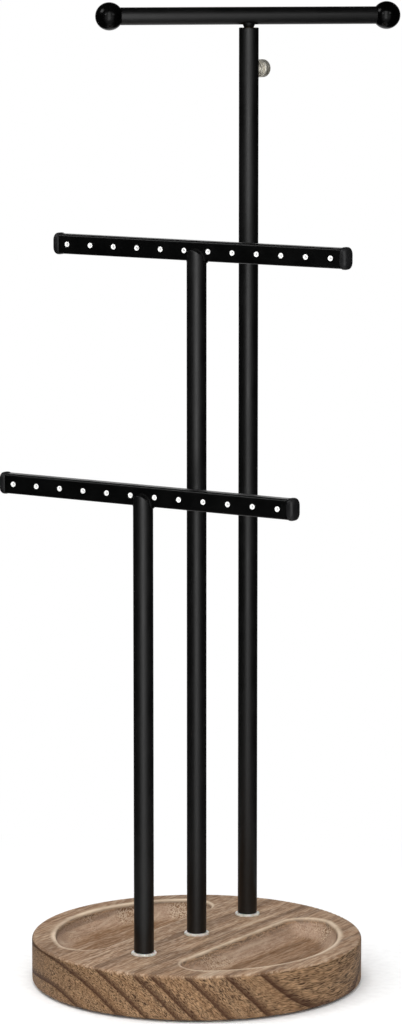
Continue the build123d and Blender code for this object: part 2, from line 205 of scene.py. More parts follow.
# ---------------------------------------------------------------- node graph helper
class Graph:
    """One node material, built by short calls."""

    def __init__(self, name):
        self.material = bpy.data.materials.new(name)
        self.material.use_nodes = True
        self.tree = self.material.node_tree
        self.tree.nodes.clear()
        self.output = self.add("ShaderNodeOutputMaterial")
        self.place = self.add("ShaderNodeTexCoord").outputs["Object"]

    def add(self, kind, **settings):
        node = self.tree.nodes.new(kind)
        for key, value in settings.items():
            setattr(node, key, value)
        return node

    def feed(self, socket, value):
        if isinstance(value, bpy.types.NodeSocket):
            self.tree.links.new(value, socket)
        else:
            socket.default_value = value

    def math(self, operation, *values, clamp=False):
        node = self.add("ShaderNodeMath", operation=operation, use_clamp=clamp)
        for socket, value in zip(node.inputs, values):
            self.feed(socket, value)
        return node.outputs[0]

    def split(self, vector):
        node = self.add("ShaderNodeSeparateXYZ")
        self.feed(node.inputs[0], vector)
        return node.outputs

    def join(self, x, y, z):
        node = self.add("ShaderNodeCombineXYZ")
        for socket, value in zip(node.inputs, (x, y, z)):
            self.feed(socket, value)
        return node.outputs[0]

    def vector_math(self, operation, *values):
        """Both results of an operation on vectors: [0] is the vector and [1] the number."""
        node = self.add("ShaderNodeVectorMath", operation=operation)
        for socket, value in zip(node.inputs, values):
            self.feed(socket, value)
        return node.outputs

    def scaled(self, vector, factors):
        return self.vector_math("MULTIPLY", vector, factors)[0]

    def noise(self, vector, scale=1.0, detail=2.0, roughness=0.5, distortion=0.0):
        node = self.add("ShaderNodeTexNoise")
        self.feed(node.inputs["Vector"], vector)
        self.feed(node.inputs["Scale"], scale)
        self.feed(node.inputs["Detail"], detail)
        self.feed(node.inputs["Roughness"], roughness)
        self.feed(node.inputs["Distortion"], distortion)
        return node.outputs["Fac"]

    def cells(self, vector, scale=1.0, feature="F1"):
        node = self.add("ShaderNodeTexVoronoi", feature=feature)
        self.feed(node.inputs["Vector"], vector)
        self.feed(node.inputs["Scale"], scale)
        return node.outputs["Distance"]

    def remap(self, value, low, high, to_low=0.0, to_high=1.0, smooth=False):
        node = self.add("ShaderNodeMapRange", clamp=True)
        node.interpolation_type = "SMOOTHSTEP" if smooth else "LINEAR"
        for socket, number in zip(node.inputs, (value, low, high, to_low, to_high)):
            self.feed(socket, number)
        return node.outputs[0]

    def ramp(self, value, stops, interpolation="LINEAR"):
        node = self.add("ShaderNodeValToRGB")
        node.color_ramp.interpolation = interpolation
        elements = node.color_ramp.elements
        while len(elements) < len(stops):
            elements.new(1.0)
        for element, (position, shade) in zip(elements, stops):
            element.position = position
            element.color = shade if hasattr(shade, "__len__") else (shade, shade, shade, 1)
        self.feed(node.inputs["Fac"], value)
        return node.outputs["Color"]

    def blend(self, factor, first, second, mode="MIX"):
        node = self.add("ShaderNodeMix", data_type="RGBA", blend_type=mode)
        self.feed(node.inputs[0], factor)
        self.feed(node.inputs[6], first)
        self.feed(node.inputs[7], second)
        return node.outputs[2]

    def bump(self, height, distance, strength=1.0):
        node = self.add("ShaderNodeBump")
        self.feed(node.inputs["Height"], height)
        self.feed(node.inputs["Distance"], distance)
        self.feed(node.inputs["Strength"], strength)
        return node.outputs["Normal"]

    def surface(self, **values):
        """The principled shader, with underscores for the spaces in its socket names."""
        shader = self.add("ShaderNodeBsdfPrincipled")
        for name, value in values.items():
            self.feed(shader.inputs[name.replace("_", " ")], value)
        self.tree.links.new(shader.outputs[0], self.output.inputs["Surface"])
        return self.material


class WorldGraph(Graph):
    """The same short calls for the world."""

    def __init__(self, name):
        self.world = bpy.data.worlds.new(name)
        self.world.use_nodes = True
        self.tree = self.world.node_tree
        self.tree.nodes.clear()
        self.output = self.add("ShaderNodeOutputWorld")
        self.place = self.add("ShaderNodeTexCoord").outputs["Generated"]


# ---------------------------------------------------------------- materials
PAINT_BLACK = srgb(1, 1, 1)
PAINT_WORN = srgb(4, 4, 4)
PEEL_DEPTH = 0.005 * MM


def black_paint(name, grain=0.35 * MM, roughness=0.48, shine=0.52):
    """Satin powder coat: fine orange peel, a little unevenness in tone and gloss."""
    g = Graph(name)
    peel = g.noise(g.place, 1 / grain, detail=3, roughness=0.55)
    haze = g.noise(g.place, 90, detail=4)
    colour = g.blend(g.remap(haze, 0.35, 0.7), PAINT_BLACK, PAINT_WORN)
    gloss = g.math("ADD", g.remap(haze, 0.3, 0.7, roughness - 0.03, roughness + 0.04),
                   g.remap(peel, 0.3, 0.7, -0.02, 0.02))
    return g.surface(Base_Color=colour, Roughness=gloss, Specular_IOR_Level=shine,
                     Normal=g.bump(peel, PEEL_DEPTH, 0.5))


def cap_plastic():
    """Moulded black plastic with a fine spark-eroded grain."""
    g = Graph("cap_plastic")
    grain = g.cells(g.place, 1 / (0.3 * MM))
    tone = g.noise(g.place, 220, detail=3)
    colour = g.blend(g.remap(tone, 0.3, 0.7), srgb(20, 20, 21), srgb(30, 30, 31))
    return g.surface(Base_Color=colour, Roughness=g.remap(tone, 0.3, 0.7, 0.42, 0.52),
                     Specular_IOR_Level=0.3, Normal=g.bump(grain, 0.01 * MM, 0.4))


def white_lining():
    """Pale polymer of the eyelets."""
    g = Graph("white_lining")
    tone = g.noise(g.place, 900, detail=3)
    colour = g.blend(g.remap(tone, 0.3, 0.7), srgb(243, 243, 241), srgb(252, 252, 251))
    return g.surface(Base_Color=colour, Roughness=g.remap(tone, 0.3, 0.7, 0.3, 0.4),
                     Specular_IOR_Level=0.4, Normal=g.bump(tone, 0.01 * MM, 0.4))


def foot_ring_polymer():
    """Milky gasket under each post, slightly cloudy."""
    g = Graph("foot_ring_polymer")
    cloud = g.noise(g.place, 420, detail=4, roughness=0.6)
    colour = g.blend(g.remap(cloud, 0.35, 0.68), srgb(188, 181, 170), srgb(222, 218, 211))
    return g.surface(Base_Color=colour, Roughness=g.remap(cloud, 0.3, 0.7, 0.25, 0.4),
                     Subsurface_Weight=0.2, Subsurface_Scale=0.6 * MM,
                     Normal=g.bump(cloud, 0.02 * MM, 0.5))


def turned_metal(name, light, dark, origin, along, roughness=0.3, ring=0.12 * MM):
    """Turned metal: fine concentric tool marks about an axis, and a soft tarnish."""
    g = Graph(name)
    from_origin = g.vector_math("SUBTRACT", g.place, origin)[0]
    distance = g.vector_math("DOT_PRODUCT", from_origin, Vector(along).normalized())[1]
    length = g.vector_math("LENGTH", from_origin)[1]
    squared = g.math("MULTIPLY", length, length)
    along_squared = g.math("MULTIPLY", distance, distance)
    radius = g.math("SQRT", g.math("MAXIMUM", g.math("SUBTRACT", squared, along_squared), 0.0))
    marks = g.noise(g.join(radius, distance, 0.0), 1 / ring, detail=3)
    tarnish = g.noise(g.place, 350, detail=5, roughness=0.62)
    colour = g.blend(g.remap(tarnish, 0.36, 0.66), light, dark)
    gloss = g.math("ADD", g.remap(tarnish, 0.3, 0.7, roughness - 0.06, roughness + 0.1),
                   g.remap(marks, 0.3, 0.7, -0.05, 0.05))
    return g.surface(Base_Color=colour, Metallic=0.85, Roughness=gloss,
                     Normal=g.bump(marks, 0.006 * MM, 0.6))


def foam_pad():
    """Closed-cell foam under the base."""
    g = Graph("foam_pad")
    cells = g.cells(g.place, 1 / (0.7 * MM))
    tone = g.noise(g.place, 140, detail=4)
    colour = g.blend(g.remap(tone, 0.3, 0.7), srgb(26, 26, 27), srgb(40, 40, 41))
    return g.surface(Base_Color=colour, Roughness=g.remap(tone, 0.3, 0.7, 0.8, 0.95),
                     Specular_IOR_Level=0.25, Normal=g.bump(cells, 0.08 * MM, 0.8))


# The tree's heart lies below the base, to the left of the posts: the year lines are
# circles round it and run the length of the board, along Y.
PITH_X = -42.0 * MM
PITH_Z = -57.0 * MM
RING_START = 52.0 * MM
RING_END = 146.0 * MM
YEAR_LINES = (64.0, 76.3, 85.4, 95.4, 100.4, 110.7, 121.2, 129.3)
LINE_STOPS = ((-0.25, 0.0), (0.1, 1.0), (1.15, 0.72), (3.0, 0.0))
SWAY = 4.0 * MM  # how far the year lines wander over the board
RIPPLE = 0.6 * MM  # and how far from one bundle of fibres to the next
ARC_RADIUS = 100.0 * MM  # how far from the heart arcs are measured
STROKE_SPACING = 1.45 * MM
STROKE_BEND = 4.5  # how many spacings a stroke shifts from the lowest to the highest noise

# The half-moon trays, seen from above: one straight side, a round rim, rounded corners.
TRAY_INNER = 20.5 * MM
TRAY_OUTER = 64.5 * MM
TRAY_CORNER = 12.0 * MM
TRAY_COVE = 9.9 * MM
UNDER_TRAYS, TRAY_FLOOR = 12.0 * MM, 12.9 * MM  # heights between which the tray tones set in
LIP_FOOT, LIP_TOP = 19.0 * MM, 20.2 * MM  # and those of the wear and painted highlight on the lips
NARROW_LIP, WIDE_LIP = 1.3 * MM, 2.8 * MM  # width of the wear and painted highlight at the straight side and at the rim

END_DARK, END_LIGHT = srgb(34, 15, 3), srgb(168, 134, 99)
TOP_DARK, TOP_LIGHT = srgb(114, 85, 61), srgb(186, 157, 130)
LINE_TONE = srgb(54, 26, 6)
PORE_TONE = srgb(70, 47, 31)
FLOOR_TONE = srgb(114, 78, 46)
# pale tone of sanded wear, also used for the painted highlight on the lips and the painted sheen
# on the top
WEAR_AND_HIGHLIGHT_TONE = srgb(212, 192, 168)
COVE_TONE = srgb(170, 144, 124)


def year_line_stops():
    """Ramp stops: each line starts sharply on its inner side and fades outwards."""
    stops = []
    reach = (RING_END - RING_START) / MM
    for radius in YEAR_LINES:
        for offset, depth in LINE_STOPS:
            stops.append(((radius + offset - RING_START / MM) / reach, depth))
    return stops


def flat_length(g, x, y):
    """Length of a vector with two parts."""
    return g.math("SQRT", g.math("ADD", g.math("MULTIPLY", x, x), g.math("MULTIPLY", y, y)))


def shifted(g, noise, reach):
    """A noise turned into a shift, half of it each way."""
    return g.math("MULTIPLY", g.math("SUBTRACT", noise, 0.5), reach)


def tree_place(g, x, y, z):
    """Arc, length and radius of a point round the tree's heart, a little wavy."""
    sway = shifted(g, g.noise(g.scaled(g.place, (22.0, 5.0, 22.0)), 1.0, 2), SWAY)
    ripple = shifted(g, g.noise(g.scaled(g.place, (240.0, 60.0, 240.0)), 1.0, 3), RIPPLE)
    from_x = g.math("SUBTRACT", x, PITH_X)
    from_z = g.math("SUBTRACT", z, PITH_Z)
    radius = g.math("ADD", g.math("ADD", flat_length(g, from_x, from_z), sway), ripple)
    arc = g.math("MULTIPLY", g.math("ARCTAN2", from_x, from_z), ARC_RADIUS)
    return arc, y, radius


def fibres(g, place, across, along, deep, detail=3, roughness=0.6, distortion=0.0):
    """Noise drawn out along the tree: its size in mm round it, along it and outwards."""
    sizes = (across * MM, along * MM, deep * MM)
    drawn = [g.math("DIVIDE", value, size) for value, size in zip(place, sizes)]
    return g.noise(g.join(*drawn), 1.0, detail, roughness, distortion)


def strokes(g, across, wobble):
    """Fine, nearly parallel lines, bent by a noise."""
    turns = g.math("ADD", g.math("DIVIDE", across, STROKE_SPACING),
                   g.math("MULTIPLY", wobble, STROKE_BEND))
    return g.math("MULTIPLY_ADD", g.math("SINE", g.math("MULTIPLY", turns, 2 * pi)), 0.5, 0.5)


def tray_distance(g, x, y):
    """Distance from the nearer tray's outline, seen from above: under 0 inside it."""
    side_x, side_y = g.math("ABSOLUTE", x), g.math("ABSOLUTE", y)
    from_sides = g.math("MAXIMUM", g.math("SUBTRACT", TRAY_INNER, side_x),
                        g.math("SUBTRACT", flat_length(g, x, y), TRAY_OUTER))
    corner_x = TRAY_INNER + TRAY_CORNER
    corner_y = sqrt((TRAY_OUTER - TRAY_CORNER) ** 2 - corner_x**2)
    from_centre = flat_length(g, g.math("SUBTRACT", side_x, corner_x),
                              g.math("SUBTRACT", side_y, corner_y))
    from_corner = g.math("SUBTRACT", from_centre, TRAY_CORNER)
    past_side = g.math("GREATER_THAN", side_y, corner_y)
    before_rim = g.math("GREATER_THAN", g.math("MULTIPLY", side_y, corner_x),
                        g.math("MULTIPLY", side_x, corner_y))
    at_corner = g.math("MULTIPLY", past_side, before_rim)
    return g.remap(at_corner, 0.0, 1.0, from_sides, from_corner)


def side_colour(g, tree, z, flecks, end_grain):
    """The round side: flecked end grain where it crosses the board, level strokes along it."""
    bent = fibres(g, tree, 2.6, 6.0, 1.7, detail=1)
    end_strokes = strokes(g, tree[2], bent)
    waves = g.noise(g.scaled(g.place, (300.0, 220.0, 1900.0)), 1.0, 1, distortion=0.6)
    swell = g.noise(g.scaled(g.place, (170.0, 120.0, 520.0)), 1.0, 1)
    side_strokes = strokes(g, z, swell)
    grain = g.remap(end_grain, 0.0, 1.0, waves, flecks)
    lines = g.remap(end_grain, 0.0, 1.0, side_strokes, end_strokes)
    tone = g.math("ADD", g.remap(grain, 0.34, 0.66, -0.05, 0.6), g.math("MULTIPLY", lines, 0.45))
    return g.blend(tone, END_DARK, END_LIGHT)


def top_colour(g, streaks, flecks):
    """The planed top: long streaks, with darker and paler flecks."""
    colour = g.blend(g.remap(streaks, 0.34, 0.66), TOP_DARK, TOP_LIGHT)
    colour = g.blend(g.remap(flecks, 0.5, 0.3, 0.0, 0.45), colour, FLOOR_TONE)
    return g.blend(g.remap(flecks, 0.5, 0.7, 0.0, 0.45), colour, WEAR_AND_HIGHLIGHT_TONE)


def carved_colour(g, colour, out_of_tray, z, across_end, patches):
    """The wood with the trays in it: darker floors, and coves that the cutter left rough."""
    open_top = g.remap(z, UNDER_TRAYS, TRAY_FLOOR)
    on_floor = g.remap(out_of_tray, -TRAY_COVE, -0.45 * TRAY_COVE, 1.0, 0.0, smooth=True)
    in_tray = g.remap(out_of_tray, -1.0 * MM, -0.2 * MM, 1.0, 0.0)
    on_cove = g.math("MULTIPLY", in_tray, g.math("SUBTRACT", 1.0, on_floor))
    floor_share = g.math("MULTIPLY", g.math("MULTIPLY", on_floor, open_top), 0.36)
    colour = g.blend(floor_share, colour, FLOOR_TONE)
    chatter = g.noise(g.place, 1 / (0.7 * MM), detail=0, distortion=0.6)
    rough = g.blend(g.remap(chatter, 0.38, 0.6), FLOOR_TONE, WEAR_AND_HIGHLIGHT_TONE)
    rough = g.blend(g.remap(patches, 0.45, 0.6, 0.15, 0.8), COVE_TONE, rough)
    facing_end = g.remap(across_end, 0.15, 0.5, 0.45, 0.8)
    cove_share = g.math("MULTIPLY", g.math("MULTIPLY", on_cove, open_top), facing_end)
    return g.blend(cove_share, colour, rough)


def lip_wear_and_highlight(g, out_of_tray, x, z, patches):
    """How pale the lips of the trays are: sanded wear and a painted highlight along the rounded
    edge.
    """
    reach = g.remap(g.math("ABSOLUTE", x), TRAY_INNER, TRAY_INNER + TRAY_CORNER,
                    NARROW_LIP, WIDE_LIP)
    outer = g.remap(g.math("DIVIDE", out_of_tray, reach), 0.2, 1.0, 1.0, 0.0, smooth=True)
    near_lip = g.math("MULTIPLY", g.remap(out_of_tray, -0.7 * MM, 0.0, smooth=True), outer)
    near_lip = g.math("MULTIPLY", near_lip, g.remap(z, LIP_FOOT, LIP_TOP, smooth=True))
    return g.math("MULTIPLY", near_lip, g.remap(patches, 0.35, 0.6, 0.5, 0.95))


def carved_wood():
    """Stained solid wood: year lines, fibres, pores and end grain; trays with sanded lips that
    carry a painted highlight, and painted sheen streaks on the top.
    """
    g = Graph("carved_wood")
    x, y, z = g.split(g.place)
    tree = tree_place(g, x, y, z)
    lines = g.ramp(g.remap(tree[2], RING_START, RING_END), year_line_stops())
    flecks = fibres(g, tree, 1.6, 5.0, 0.42, detail=1, distortion=0.3)
    streaks = fibres(g, tree, 1.3, 26.0, 2.4, detail=4, roughness=0.7)
    pores = fibres(g, tree, 1.0, 8.0, 1.0, detail=2, roughness=0.5)
    bands = fibres(g, tree, 30.0, 120.0, 3.2)
    # painted sheen: long noise for pale streaks along the grain on the top
    sheen_streaks = fibres(g, tree, 5.0, 70.0, 6.0)
    patches = g.noise(g.place, 55, detail=2)

    _, normal_y, normal_z = g.split(g.add("ShaderNodeNewGeometry").outputs["Normal"])
    across_end = g.math("ABSOLUTE", normal_y)
    upward = g.remap(normal_z, 0.35, 0.8, smooth=True)
    end_grain = g.remap(across_end, 0.3, 0.85, smooth=True)

    side = side_colour(g, tree, z, flecks, end_grain)
    colour = g.blend(g.math("MULTIPLY", upward, 0.94), side, top_colour(g, streaks, flecks))
    colour = g.blend(g.remap(bands, 0.4, 0.7, 0.0, 0.35), colour, FLOOR_TONE)
    colour = g.blend(g.remap(pores, 0.6, 0.74, 0.0, 0.4), colour, PORE_TONE)
    line_strength = g.math("MULTIPLY", lines, g.remap(upward, 0.0, 1.0, 0.95, 0.42))
    colour = g.blend(line_strength, colour, LINE_TONE)

    out_of_tray = tray_distance(g, x, y)
    colour = carved_colour(g, colour, out_of_tray, z, across_end, patches)
    # painted highlight along the tray lips, mixed with sanded wear
    worn_and_highlighted_lip = lip_wear_and_highlight(g, out_of_tray, x, z, patches)
    # painted sheen: pale streaks on the top, mixed towards the pale tone
    painted_sheen = g.math("MULTIPLY", upward, g.remap(sheen_streaks, 0.56, 0.7, 0.0, 0.4))
    colour = g.blend(g.math("MAXIMUM", worn_and_highlighted_lip, painted_sheen), colour, WEAR_AND_HIGHLIGHT_TONE)

    raised = g.math("MULTIPLY", flecks, g.remap(end_grain, 0, 1, 0.5, 1.0))
    relief = g.math("SUBTRACT", raised, g.math("MULTIPLY", lines, 0.8))
    relief = g.math("SUBTRACT", relief, g.remap(pores, 0.6, 0.8, 0.0, 0.8))
    return g.surface(Base_Color=colour, Roughness=g.remap(streaks, 0.3, 0.7, 0.62, 0.78),
                     Specular_IOR_Level=0.25, Normal=g.bump(relief, 0.15 * MM, 0.5))


# ---------------------------------------------------------------- posts
def make_tier_post(post, paint):
    """A round tube whose front runs up the bar's face and ends in an arch."""
    y_post, bar = POST_Y[post], BAR_OF_POST[post]
    shoulder = BAR_AXIS_Z[bar] - BAR_HEIGHT / 2
    flat_y = BAR_SETBACK - BAR_DEPTH / 2
    foot_round, edge_round = 0.3 * MM, 0.35 * MM
    front_half = acos(-flat_y / POST_RADIUS)
    half_round_steps = 61
    bm = bmesh.new()

    front = span(-front_half, front_half, half_round_steps)
    back = span(front_half, 2 * pi - front_half, half_round_steps)[1:-1]
    angles = front + back

    def place(angle, radius, z):
        return (radius * sin(angle), y_post - radius * cos(angle), z)

    levels = [(POST_RADIUS - foot_round, POST_FOOT)]
    levels += [(POST_RADIUS - foot_round * (1 - sin(t)), POST_FOOT + foot_round * (1 - cos(t)))
               for t in span(pi / 10, pi / 2, 5)]
    levels += [(POST_RADIUS, z) for z in span(POST_FOOT + 1 * MM, shoulder, 9)]
    rings = [[bm.verts.new(place(a, r, z)) for a in angles] for r, z in levels]
    skin_rings(bm, rings)
    bm.faces.new(rings[0])

    columns = []
    for index, angle in enumerate(front):
        top = shoulder + TONGUE_RISE * cos(angle)
        x, outer = POST_RADIUS * sin(angle), -POST_RADIUS * cos(angle)
        soft = min(edge_round, 0.4 * abs(flat_y - outer))
        column = [rings[-1][index]]
        for turn in span(0, pi / 2, 6):
            depth = outer + soft * (1 - cos(turn))
            column.append(bm.verts.new((x, y_post + depth, top - soft + soft * sin(turn))))
        column.append(bm.verts.new((x, y_post + flat_y, top)))
        column.append(bm.verts.new((x, y_post + flat_y, shoulder)))
        columns.append(column)
    skin_rings(bm, columns, closed_ring=False)
    rear = [rings[-1][k] for k in range(len(front) - 1, len(angles))] + [rings[-1][0]]
    inner = [column[-1] for column in columns]
    bm.faces.new(rear + inner)
    finish_mesh(f"{post}_post_smooth", bm, paint, "stand", [f"{post}_post"])


def make_tall_post(paint):
    """The tall tube with a rolled mouth."""
    bore = POST_RADIUS - TUBE_WALL
    bm = bmesh.new()
    corners = [(bore, POST_FOOT), (POST_RADIUS, POST_FOOT),
               (POST_RADIUS, TALL_TOP), (bore, TALL_TOP)]
    radii = [0.05 * MM, 0.3 * MM, 0.3 * MM, 0.2 * MM]
    profile = rounded(corners, radii, closed=True)
    lathe(bm, profile, (0, POST_Y["tall"], 0), UP, closed=True)
    finish_mesh("tall_post_smooth", bm, paint, "stand", ["tall_post"])


def make_foot_ring(post, polymer):
    """A soft gasket with a rounded rim that shows round the foot of the post."""
    inner, outer = 2.25 * MM, 5.7 * MM
    bm = bmesh.new()
    corners = [(inner, WOOD_TOP), (outer, WOOD_TOP), (outer, POST_FOOT), (inner, POST_FOOT)]
    radii = [0.05 * MM, 0.15 * MM, 0.45 * MM, 0.05 * MM]
    profile = rounded(corners, radii, closed=True)
    lathe(bm, profile, (0, POST_Y[post], 0), UP, closed=True)
    finish_mesh(f"{post}_foot_gasket", bm, polymer, "stand",
                [f"{post}_post_foot_ring"])


# ---------------------------------------------------------------- welds
BEAD_SUNK = 0.12 * MM  # how deep a bead sits in the faces that it joins


def rippled(turn, waves):
    """The swelling of a weld bead along its run."""
    return 0.93 + 0.07 * abs(sin(turn * waves))


def add_arch_bead(bm, y_post, shoulder):
    """The bead round the arched end of a post, on the bar's front."""
    size = 0.85 * MM
    face_y = y_post + BAR_SETBACK - BAR_DEPTH / 2
    forward = Vector((0, -1, 0))
    rings = []
    for t in span(0.0, pi, 181):
        x, z = POST_RADIUS * cos(t), TONGUE_RISE * sin(t)
        out = Vector((cos(t) / POST_RADIUS, 0, sin(t) / TONGUE_RISE)).normalized()
        ends = min(1.0, sin(t) / 0.12 + 0.35)  # thinner where the bead starts and stops
        swell = size * ends * rippled(t, 15)
        base = Vector((x, face_y, shoulder + z))
        ring = [bm.verts.new(base - out * BEAD_SUNK - forward * BEAD_SUNK),
                bm.verts.new(base + out * swell - forward * BEAD_SUNK)]
        for turn in span(0, pi / 2, 7):
            bulge = swell * (1 - 0.12 * sin(2 * turn))
            ring.append(bm.verts.new(base + out * bulge * cos(turn) + forward * bulge * sin(turn)))
        ring.append(bm.verts.new(base - out * BEAD_SUNK + forward * swell))
        rings.append(ring)
    skin_rings(bm, rings)
    bm.faces.new(rings[0])
    bm.faces.new(rings[-1])


def add_lower_bead(bm, y_post, shoulder):
    """The bead round the back of a post, under the bar."""
    size, front_end = 0.9 * MM, 0.95 * MM
    reach = pi - acos(front_end / POST_RADIUS)
    rings = []
    for t in span(-reach, reach, 121):
        ends = min(1.0, (reach - abs(t)) / 0.15 + 0.15)
        swell = size * ends * rippled(t, 13)
        out = Vector((sin(t), cos(t), 0))
        base = Vector((0, y_post, shoulder)) + out * POST_RADIUS
        ring = [bm.verts.new(base - out * BEAD_SUNK)]
        for turn in span(0, pi / 2, 7):
            bulge = swell * (1 - 0.15 * sin(2 * turn))
            drop = Vector((0, 0, -bulge * sin(turn)))
            ring.append(bm.verts.new(base + out * bulge * cos(turn) + drop))
        rings.append(ring)
    skin_rings(bm, rings)
    bm.faces.new(rings[0])
    bm.faces.new(rings[-1])


def make_weld(post, paint):
    """Both beads between a post and its bar."""
    bar, y_post = BAR_OF_POST[post], POST_Y[post]
    shoulder = BAR_AXIS_Z[bar] - BAR_HEIGHT / 2
    bm = bmesh.new()
    add_arch_bead(bm, y_post, shoulder)
    add_lower_bead(bm, y_post, shoulder)
    finish_mesh(f"{bar}_weld_bead", bm, paint, "stand", [f"{bar}_bar_weld"])


# ---------------------------------------------------------------- earring bars
def make_eyelets(bar, y_post, material):
    """Twelve rolled linings, open right through the bar."""
    y_bar = y_post + BAR_SETBACK
    half = BAR_DEPTH / 2
    lip, lip_radius, bore, barrel = 0.25 * MM, 1.2 * MM, 0.4 * MM, 1.13 * MM
    bm = bmesh.new()
    corners = [(bore, -half - lip), (lip_radius, -half - lip), (lip_radius, -half),
               (barrel, -half), (barrel, half),
               (lip_radius, half), (lip_radius, half + lip), (bore, half + lip)]
    radii = [0.4 * MM, 0.12 * MM, 0.01 * MM, 0, 0, 0.01 * MM, 0.12 * MM, 0.4 * MM]
    profile = rounded(corners, radii, steps=4, closed=True)
    for x in span(-HOLE_END, HOLE_END, HOLE_COUNT):
        lathe(bm, profile, (x, y_bar, BAR_AXIS_Z[bar]), ALONG_ROW, segments=40, closed=True)
    finish_mesh(f"{bar}_bar_rolled_eyelets", bm, material, "stand",
                [f"{bar}_bar_eyelets"])


def rounded_rectangle(half_y, half_z, radius, per_corner=10):
    """Outline points of a rounded rectangle, anticlockwise."""
    points = []
    for corner, (sy, sz) in enumerate(((1, 1), (-1, 1), (-1, -1), (1, -1))):
        cy, cz = sy * (half_y - radius), sz * (half_z - radius)
        for turn in span(corner * pi / 2, (corner + 1) * pi / 2, per_corner):
            points.append((cy + radius * cos(turn), cz + radius * sin(turn)))
    return points


def make_cap(bar, y_post, side_name, side, plastic):
    """A plug with a rounded, slightly domed head."""
    half_y, half_z = 3.45 * MM, 4.95 * MM
    rim, crown, dome, crown_inset = 1.5 * MM, 1.85 * MM, 0.34 * MM, 1.25 * MM
    inner_round, inner_run = 0.4 * MM, 0.9 * MM
    widest_corner = 2.6 * MM
    y_bar, z_bar = y_post + BAR_SETBACK, BAR_AXIS_Z[bar]
    bm = bmesh.new()
    steps = [(inner_round * (1 - sin(t)), inner_run * (1 - cos(t))) for t in span(0, pi / 2, 6)]
    steps += [(crown_inset * (1 - cos(t)), rim + crown * sin(t)) for t in span(0, pi / 2, 12)]
    rings = []
    for inset, out in steps:
        corner = min(widest_corner, half_y - inset - HAIR)
        outline = rounded_rectangle(half_y - inset, half_z - inset, corner)
        x = side * (BAR_HALF_LENGTH + out)
        rings.append([bm.verts.new((x, y_bar + py, z_bar + pz)) for py, pz in outline])
    last_y, last_z = half_y - crown_inset, half_z - crown_inset
    for share in (0.75, 0.5, 0.25):
        outline = rounded_rectangle(last_y * share, last_z * share, (last_y - HAIR) * share)
        x = side * (BAR_HALF_LENGTH + rim + crown + dome * (1 - share * share))
        rings.append([bm.verts.new((x, y_bar + py, z_bar + pz)) for py, pz in outline])
    tip = side * (BAR_HALF_LENGTH + rim + crown + dome)
    rings.append([bm.verts.new((tip, y_bar, z_bar))])
    skin_rings(bm, rings)
    bm.faces.new(rings[0])
    name = f"{bar}_bar_{side_name}_cap"
    finish_mesh(f"{name}_moulded", bm, plastic, "stand", [name])


# ---------------------------------------------------------------- sliding, turning top
TOP_BAR_ALONG = Vector((cos(TOP_BAR_TURN), sin(TOP_BAR_TURN), 0))
TOP_BAR_MIDDLE = Vector((0, POST_Y["tall"], TOP_BAR_Z))


def make_top_bar(paint):
    """The round top bar."""
    low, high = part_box("top_bar")
    half = (high.x - low.x - 2 * TOP_BAR_RADIUS * sin(TOP_BAR_TURN)) / 2 / cos(TOP_BAR_TURN)
    bore = TOP_BAR_RADIUS - TUBE_WALL
    bm = bmesh.new()
    corners = [(bore, -half), (TOP_BAR_RADIUS, -half), (TOP_BAR_RADIUS, half), (bore, half)]
    profile = rounded(corners, [0, 0.2 * MM, 0.2 * MM, 0], closed=True)
    lathe(bm, profile, TOP_BAR_MIDDLE, TOP_BAR_ALONG, closed=True)
    finish_mesh("top_bar_smooth", bm, paint, "top_arm", ["top_bar"])


def make_ball(name, side, paint):
    """A ball end, cut flat where it sits on the end of the top bar."""
    seat = sqrt(BALL_RADIUS**2 - (TOP_BAR_RADIUS * 0.98) ** 2)
    turns = span(acos(seat / BALL_RADIUS), pi - 0.02, 60)
    bm = bmesh.new()
    profile = [(0.0, -seat), (TOP_BAR_RADIUS * 0.9, -seat)]
    profile += [(BALL_RADIUS * sin(t), -BALL_RADIUS * cos(t)) for t in turns]
    profile.append((0.0, BALL_RADIUS))
    outward = TOP_BAR_ALONG * side
    lathe(bm, profile, TOP_BAR_MIDDLE + outward * BALL_REACH, outward)
    finish_mesh(f"{name}_smooth", bm, paint, "top_arm", [name])


def make_neck(paint):
    """The weld cone between the rod and the top bar."""
    low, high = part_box("top_bar_neck")
    rod_low, rod_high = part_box("inner_rod")
    foot_radius = (rod_high.x - rod_low.x) / 2 + HAIR
    top_radius = (high.x - low.x) / 2
    top = TOP_BAR_Z - TOP_BAR_RADIUS + 0.9 * MM
    bm = bmesh.new()
    corners = [(0, low.z), (foot_radius, low.z), (top_radius, top), (0, top)]
    profile = rounded(corners, [0, 0.05 * MM, 0.05 * MM, 0])
    lathe(bm, profile, (0, POST_Y["tall"], 0), UP)
    finish_mesh("top_bar_neck_weld", bm, paint, "top_arm", ["top_bar_neck"])


def make_rod(paint):
    """The rod that slides in the tall tube."""
    low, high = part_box("inner_rod")
    radius = (high.x - low.x) / 2
    bm = bmesh.new()
    corners = [(0, low.z), (radius, low.z), (radius, high.z), (0, high.z)]
    profile = rounded(corners, [0, 0.3 * MM, 0, 0])
    lathe(bm, profile, (0, POST_Y["tall"], 0), UP)
    finish_mesh("inner_rod_smooth", bm, paint, "top_arm", ["inner_rod"])


# ---------------------------------------------------------------- thumb screw
SCREW_ORIGIN = (0, 0, SCREW_Z)
SCREW_AXES = axis_frame(SCREW_ORIGIN, ALONG_ROW)
SCREW_RADIUS = 2.0 * MM


